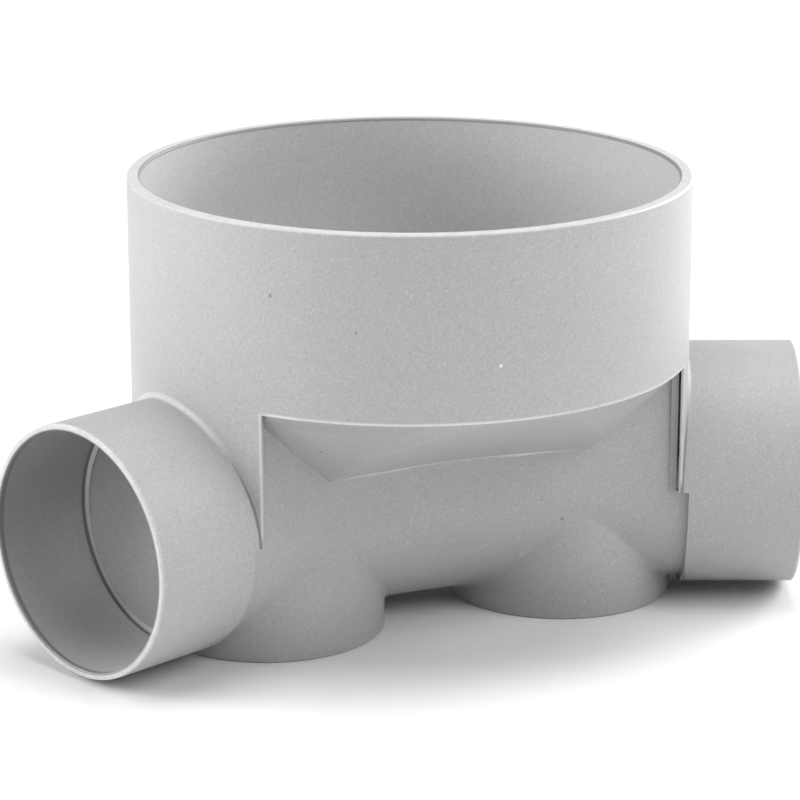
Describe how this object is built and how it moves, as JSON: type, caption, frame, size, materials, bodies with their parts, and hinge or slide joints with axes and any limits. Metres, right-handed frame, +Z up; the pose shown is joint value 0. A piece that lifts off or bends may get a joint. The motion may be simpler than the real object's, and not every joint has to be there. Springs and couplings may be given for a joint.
{
  "type": "drain inspection chamber base",
  "caption": "Moulded plastic chamber base with a wide riser socket above a channel that bends 45 degrees between pipe sockets, on round feet.",
  "frame": {"origin": "on the riser socket's axis, in the plane the feet stand on", "axes": "+Z up along the riser socket, out of its mouth; X across the sockets; -Y is the inner side of the bend, towards which both sockets turn"},
  "size_m": [0.4052, 0.263, 0.21],
  "materials": {
    "grey_plastic": "smooth moulded light grey plastic with a soft sheen"
  },
  "bodies": {
    "root": {"chamber_base": "grey_plastic"}
  },
  "joints": []
}
